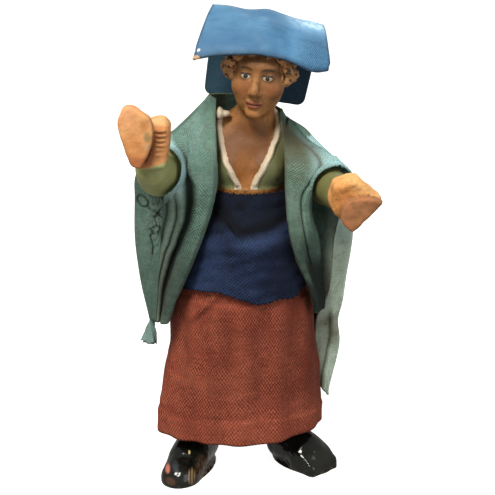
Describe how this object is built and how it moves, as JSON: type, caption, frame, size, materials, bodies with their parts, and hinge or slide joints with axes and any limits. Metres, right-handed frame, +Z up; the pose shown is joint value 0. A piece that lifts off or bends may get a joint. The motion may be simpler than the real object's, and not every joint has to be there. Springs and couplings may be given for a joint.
{
  "type": "clothed nativity figure",
  "caption": "Standing painted terracotta woman for a nativity scene, in a cloth head cloth, shawl, apron and skirt.",
  "frame": {"origin": "middle of the bounding box's underside, on the floor under the shoes", "axes": "+Z up, the figure faces -Y, +X to its left hand's side"},
  "size_m": [0.0769, 0.0608, 0.1499],
  "materials": {
    "painted_clay": "matte",
    "red_cloth": "matte",
    "navy_cloth": "matte",
    "teal_cloth": "matte",
    "blue_cloth": "satin"
  },
  "bodies": {
    "root": {"figure": "painted_clay", "skirt": "red_cloth", "apron": "navy_cloth", "shawl": "teal_cloth", "head_cloth": "blue_cloth"}
  },
  "joints": []
}
